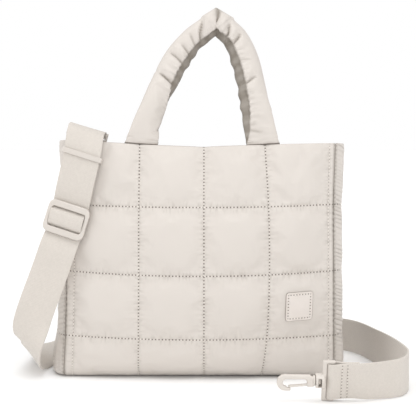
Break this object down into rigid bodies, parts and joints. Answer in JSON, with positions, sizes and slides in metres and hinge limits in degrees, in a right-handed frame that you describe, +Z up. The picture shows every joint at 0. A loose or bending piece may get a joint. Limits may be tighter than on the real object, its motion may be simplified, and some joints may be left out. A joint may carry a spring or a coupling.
{
  "type": "puffer tote bag",
  "caption": "Soft quilted puffer tote with padded side gussets, puffy tube handles and an adjustable webbing shoulder strap that ends in a swivel snap hook.",
  "frame": {"origin": "Centre of the flat base, on the surface that the bag stands on.", "axes": "+X to the right seen from the front, +Y to the back, +Z up."},
  "size_m": [0.4307, 0.3025, 0.4125],
  "materials": {
    "nylon": "crinkled nylon with a soft sheen, padded and quilted",
    "webbing": "matte twill webbing",
    "moulded": "smooth moulded plastic",
    "patch": "satin soft rubber, plain"
  },
  "bodies": {
    "bag": {"body": "nylon", "gusset_left": "nylon", "gusset_right": "nylon", "handle_front": "nylon", "handle_back": "nylon", "label_patch": "patch", "strap": "webbing", "slider": "moulded", "keeper": "moulded", "hook_loop": "moulded", "hook_left": "moulded", "d_ring_left": "moulded", "ring_tab_left": "webbing", "d_ring_right": "moulded", "ring_tab_right": "webbing"},
    "snap_hook": {"snap_hook": "moulded"},
    "hook_gate": {"hook_gate": "moulded"}
  },
  "joints": [
    {"name": "hook_swivel", "type": "hinge", "parent": "bag", "child": "snap_hook", "pos_m": [0.1158, -0.17, 0.0224], "axis": [1, 0, 0], "continuous": true},
    {"name": "hook_gate", "type": "hinge", "parent": "snap_hook", "child": "hook_gate", "pos_m": [0.1097, -0.17, 0.0184], "axis": [0, 1, 0], "range_deg": [0, 15], "stiffness_Nm_per_rad": 0.01, "springref_deg": -11.46}
  ]
}
